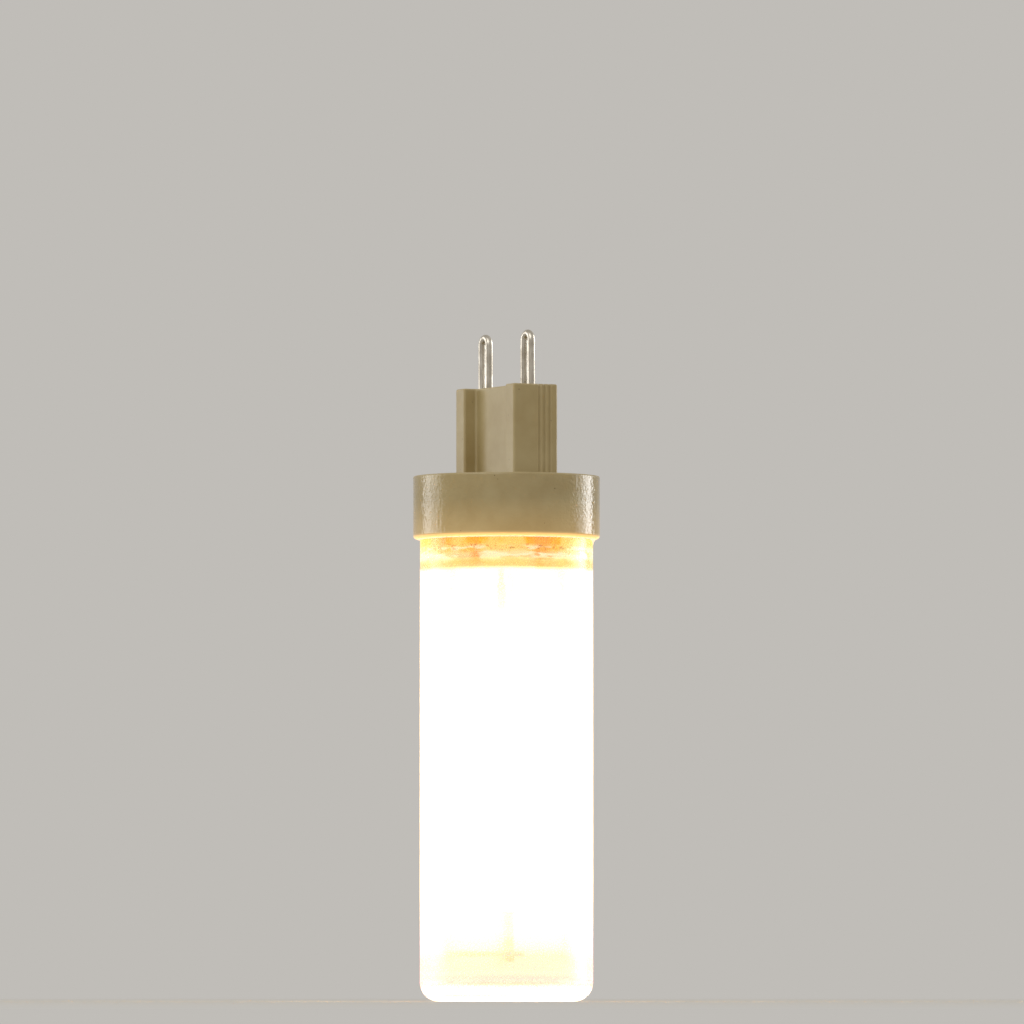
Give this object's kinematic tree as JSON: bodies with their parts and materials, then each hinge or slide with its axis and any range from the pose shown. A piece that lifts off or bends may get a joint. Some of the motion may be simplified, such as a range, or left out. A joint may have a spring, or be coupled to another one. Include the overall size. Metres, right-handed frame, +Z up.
{
  "type": "led capsule bulb",
  "caption": "Frosted tubular glass LED bulb with a flat closed end, a round cream ceramic collar and a flat plug tongue with wire loop contacts.",
  "frame": {"origin": "centre of the collar's seat face, where the bulb stops against its holder", "axes": "+Z up along the plug tongue, away from the glass; X through both wire loops"},
  "size_m": [0.0186, 0.0186, 0.067],
  "materials": {
    "frosted_glass": "satin frosted, glowing warm white",
    "glazed_cream_ceramic": "glossy glaze with a fine orange peel",
    "cement": "dull and mottled",
    "plated_wire": "bright nickel plate",
    "white_board": "white coated board",
    "phosphor": "silicone with yellow phosphor, lit",
    "black_moulding": "black moulding compound",
    "tan_ceramic": "plain fired body"
  },
  "bodies": {
    "root": {"bridge_rectifier": "black_moulding", "bridge_strip_1": "plated_wire", "bridge_strip_2": "plated_wire", "cement_ring": "cement", "ceramic_base": "glazed_cream_ceramic", "driver_board": "white_board", "driver_chip": "black_moulding", "filament_1": "phosphor", "filament_2": "phosphor", "filament_3": "phosphor", "filament_4": "phosphor", "fuse_resistor": "black_moulding", "glass_capsule": "frosted_glass", "lead_post_1": "plated_wire", "lead_post_2": "plated_wire", "lead_post_3": "plated_wire", "lead_post_4": "plated_wire", "lower_terminal_1": "plated_wire", "lower_terminal_2": "plated_wire", "lower_terminal_3": "plated_wire", "lower_terminal_4": "plated_wire", "pin_loop_left": "plated_wire", "pin_loop_right": "plated_wire", "sense_resistor": "black_moulding", "smoothing_capacitor": "tan_ceramic", "upper_terminal_1": "plated_wire", "upper_terminal_2": "plated_wire", "upper_terminal_3": "plated_wire", "upper_terminal_4": "plated_wire"}
  },
  "joints": []
}
